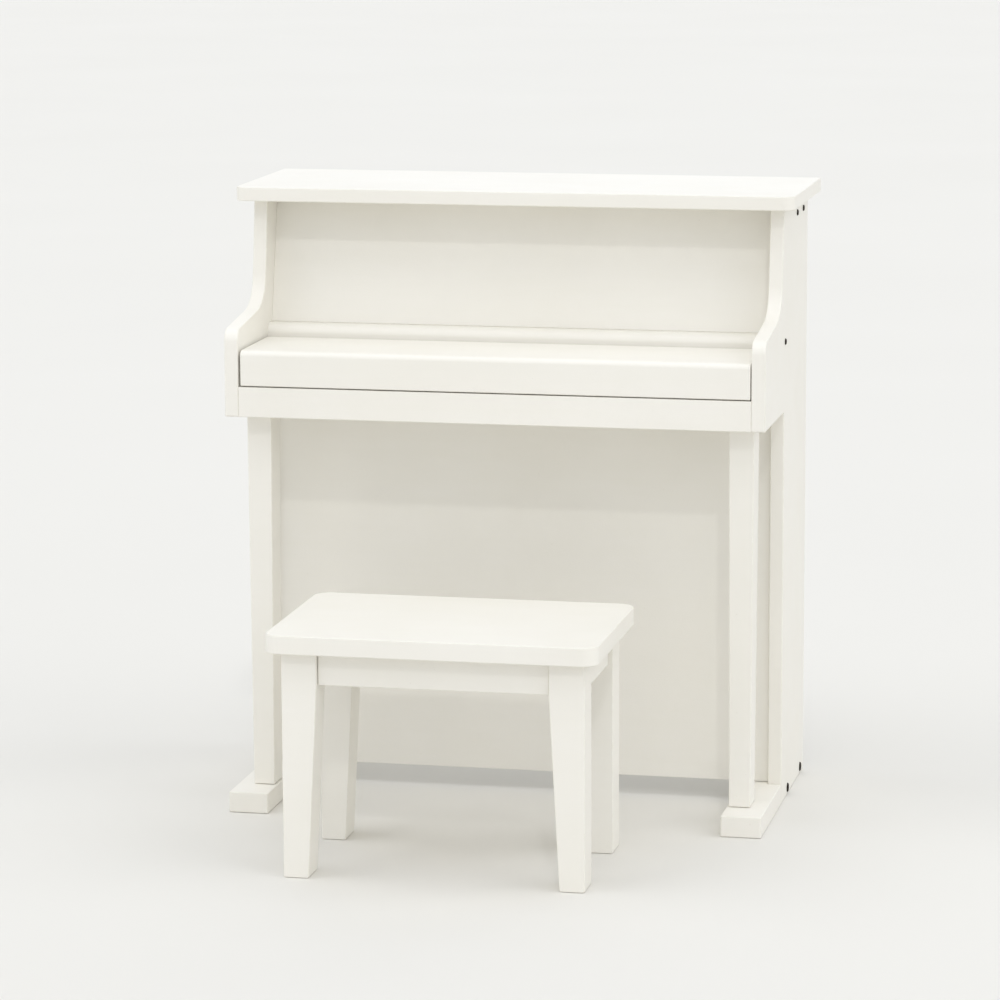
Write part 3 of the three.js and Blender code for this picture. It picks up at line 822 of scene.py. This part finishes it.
def black_key(node):
    """A tall cap, with a thin one behind it, on a wooden stick."""
    low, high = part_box(node)
    bottom, lever_top, striker_front, *_ = key_levels(node)
    x0, x1 = lever_sides(node)
    before_striker = [co for co in node_points(node) if co.y < striker_front - STRIKER_CLEARANCE]
    crown = [co for co in before_striker if co.z > lever_top + STEP]
    piece = Piece()
    black_cap(piece, (x0, x1), low.y, lever_top, crown)
    stick_x = x0 + STICK_INSET, x1 - STICK_INSET
    stick = rectangle(*stick_x, low.y + STICK_INSET, high.y)
    add_rounded_prism(piece, stick, Z, bottom, lever_top - KEY_CAP, FINE_EDGE / 2, material=WOOD)
    tail = rectangle(*stick_x, max(co.y for co in crown) + STICK_INSET, high.y)
    add_rounded_prism(piece, tail, Z, lever_top - KEY_CAP, lever_top, FINE_EDGE / 2, material=CAP)
    add_striker(piece, node, (x0, x1))
    materials = [BLACK_PLASTIC, WOOD_ALONG_Y, FELT]
    piece.finish(node + "_made", BODY_OF[node], materials, SLOT_OF[node], [node])


# ---------------------------------------------------------------- the set


def make_case():
    for side in ("left", "right"):
        board(f"{side}_side_panel", X, seams=[(Z, 1)])
        side_panel_screws(f"{side}_side_panel")
        board(f"{side}_foot", Z)
        softened_post(f"{side}_front_leg")
        board(f"{side}_key_block", X, FITTED_EDGE)
        board(f"{side}_top_cleat", X, FINE_EDGE)
        lid_pin(f"{side}_lid_pin")
    board("top_board", Z)
    board("upper_front_panel", X, FITTED_EDGE, [*BOTH_ENDS, (Z, -1), (Z, 1)])
    board("lower_front_panel", X, FITTED_EDGE, [*BOTH_ENDS, (Z, 1)])
    board("keybed", X, FITTED_EDGE, [*BOTH_ENDS, (Y, -1), (Y, 1)])
    board("key_slip", X, LID_EDGE, BOTH_ENDS)
    board("lid_ledge", X, FITTED_EDGE, BOTH_ENDS)
    back_panel()
    board("balance_rail", X, FINE_EDGE)
    board("key_rest_rail", X, FINE_EDGE)
    board("front_rest_strip", X, FINE_EDGE)
    tone_rod_bar()


def run_of(ring, wanted):
    """The points of a ring that are wanted, from the first after one that isn't."""
    start = next(i for i, p in enumerate(ring) if wanted(p) and not wanted(ring[i - 1]))
    return [p for p in ring[start:] + ring[:start] if wanted(p)]


def lid_outline():
    """The lid's top and front as one, since paint hides their joint."""
    top, front = (face_rings(node, X, 1)[0] for node in ("key_lid_top", "key_lid_front"))
    inner_face = max(p.x for p in front)
    underside = min(p.y for p in top)
    joint = min(p.x for p in top)
    nose = run_of(front, lambda p: p.x < inner_face - WELD or p.y < underside)
    back = run_of(top, lambda p: p.x > joint + WELD)
    return [*nose, Vector((inner_face, underside)), *back]


def make_lid():
    board("key_lid_top", X, LID_EDGE, outline=lid_outline(), joined_to=["key_lid_front"])


def make_keys():
    for node in KEYS:
        make_key = black_key if SLOT_OF[node] == "black_plastic" else white_key
        make_key(node)


def make_bench():
    board("bench_seat", Z)
    for place in ("front", "rear"):
        board(f"bench_{place}_apron", X)
        for side in ("left", "right"):
            board(f"bench_{place}_{side}_leg", Y)
    for side in ("left", "right"):
        board(f"bench_{side}_apron", Y)


# ---------------------------------------------------------------- floor, light and camera

FLOOR = {"radius": 40.0, "below": 0.2 * MM, "sides": 96, "clouding": 1.5, "roughness": 0.9}
FLOOR_TONES = rgb(0.755, 0.741, 0.700), rgb(0.780, 0.766, 0.727)
NEUTRAL, COOL = (1.0, 1.0, 1.0), (0.93, 0.96, 1.0)
# Soft lights far away: azimuth, elevation and spread in degrees, strength and tint. Azimuth 0
# shines on the front, and 90 on the right side.
SOFT_LIGHTS = {
    "key_light": (15, 37.5, 1.5, 0.24, NEUTRAL),
    "high_light": (10, 58, 20, 0.15, NEUTRAL),
    "top_light": (0, 84, 55, 0.60, COOL),
    "front_light": (10, 15, 60, 0.32, NEUTRAL),
    "right_light": (80, 35, 60, 0.94, NEUTRAL),
    "left_light": (-70, 35, 60, 0.84, NEUTRAL),
    "back_light": (180, 35, 60, 0.50, COOL),
}
WORLD = {"colour": rgb(0.94, 0.96, 1.0), "strength": 0.48}


def make_floor():
    mesh = bmesh.new()
    bmesh.ops.create_circle(mesh, cap_ends=True, segments=FLOOR["sides"], radius=FLOOR["radius"])
    data = bpy.data.meshes.new("floor")
    mesh.to_mesh(data)
    mesh.free()
    s = Surface("floor")
    tone = s.mix(s.noise(FLOOR["clouding"], detail=2), *FLOOR_TONES)
    data.materials.append(s.finish(tone, FLOOR["roughness"]))
    floor = bpy.data.objects.new("floor", data)
    floor.location.z = -FLOOR["below"]
    bpy.context.scene.collection.objects.link(floor)


def towards(azimuth, elevation):
    """The direction, from the object, of something at an azimuth and elevation in radians."""
    level = math.cos(elevation)
    return Vector((math.sin(azimuth) * level, -math.cos(azimuth) * level, math.sin(elevation)))


def make_lights():
    for name, (azimuth, elevation, spread, strength, tint) in SOFT_LIGHTS.items():
        data = bpy.data.lights.new(name, "SUN")
        data.angle = math.radians(spread)
        data.energy = strength
        data.color = tint
        lamp = bpy.data.objects.new(name, data)
        direction = towards(math.radians(azimuth), math.radians(elevation))
        lamp.rotation_euler = direction.to_track_quat("Z", "Y").to_euler()
        bpy.context.scene.collection.objects.link(lamp)
    world = bpy.data.worlds.new("studio")
    world.use_nodes = True
    background = world.node_tree.nodes["Background"]
    background.inputs["Color"].default_value = WORLD["colour"]
    background.inputs["Strength"].default_value = WORLD["strength"]
    bpy.context.scene.world = world


def make_camera():
    azimuth = CAMERA["azimuth"]
    back = towards(azimuth, CAMERA["elevation"])
    level = Vector((math.cos(azimuth), math.sin(azimuth), 0.0))
    turned = Matrix.Rotation(CAMERA["roll"], 3, back)
    right = turned @ level
    up = back.cross(right)
    data = bpy.data.cameras.new("camera")
    data.lens = CAMERA["lens"]
    data.clip_end = 2 * FLOOR["radius"]
    camera = bpy.data.objects.new("camera", data)
    rotation = Matrix((right, up, back)).transposed().to_4x4()
    camera.matrix_world = Matrix.Translation(CAMERA["place"]) @ rotation
    bpy.context.scene.collection.objects.link(camera)
    bpy.context.scene.camera = camera
    bpy.context.scene.view_settings.view_transform = "Standard"


make_camera()
make_case()
make_lid()
make_keys()
make_bench()
make_floor()
make_lights()
